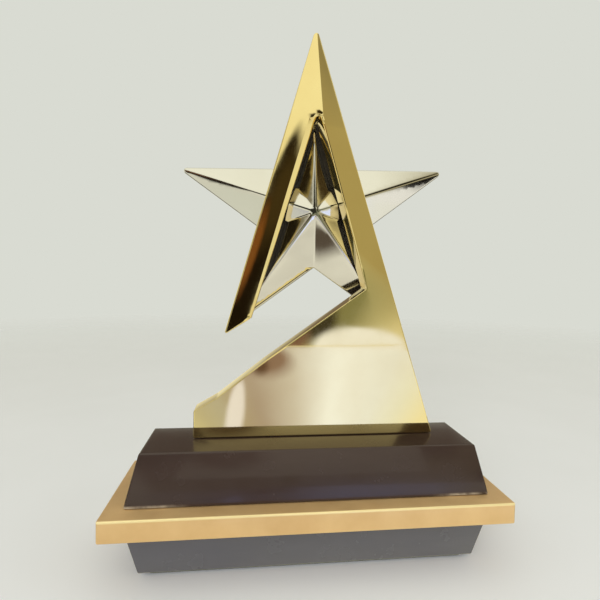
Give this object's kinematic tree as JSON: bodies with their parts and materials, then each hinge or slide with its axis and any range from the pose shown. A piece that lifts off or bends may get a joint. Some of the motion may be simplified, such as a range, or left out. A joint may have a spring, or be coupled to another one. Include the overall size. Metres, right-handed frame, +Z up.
{
  "type": "star trophy",
  "caption": "Award trophy: a polished gold pointed A shape with a faceted silver star behind its window, on a dark brown block, a gold board and a charcoal block.",
  "frame": {"origin": "middle of the base's underside, where the felt meets the table", "axes": "+Z up, front towards -Y, +X to the right as the front is seen"},
  "size_m": [0.2, 0.064, 0.2765],
  "materials": {
    "gold": "polished",
    "nickel": "polished nickel",
    "lacquer": "dark brown gloss lacquer",
    "grey_lacquer": "charcoal grey gloss lacquer",
    "gold_paint": "satin gold paint",
    "dark_paint": "satin dark brown paint",
    "steel": "zinc plated",
    "felt": "felt"
  },
  "bodies": {
    "root": {"felt_pad": "felt", "lower_plinth": "grey_lacquer", "gold_band": "gold_paint", "upper_plinth": "lacquer", "foot_stud_left": "steel", "foot_washer_left": "steel", "foot_nut_left": "steel", "foot_stud_right": "steel", "foot_washer_right": "steel", "foot_nut_right": "steel", "plinth_screw_1": "steel", "plinth_screw_2": "steel", "plinth_screw_3": "steel", "plinth_screw_4": "steel", "figure_shell": "gold", "figure_back_plate": "dark_paint", "star_shell": "nickel", "star_back_plate": "nickel", "cover_screw_top": "steel", "cover_screw_leg_left": "steel", "cover_screw_leg_right": "steel", "cover_screw_panel_left": "steel", "cover_screw_panel_middle": "steel", "cover_screw_panel_right": "steel", "star_screw_top": "steel", "star_screw_left": "steel", "star_screw_right": "steel"}
  },
  "joints": []
}
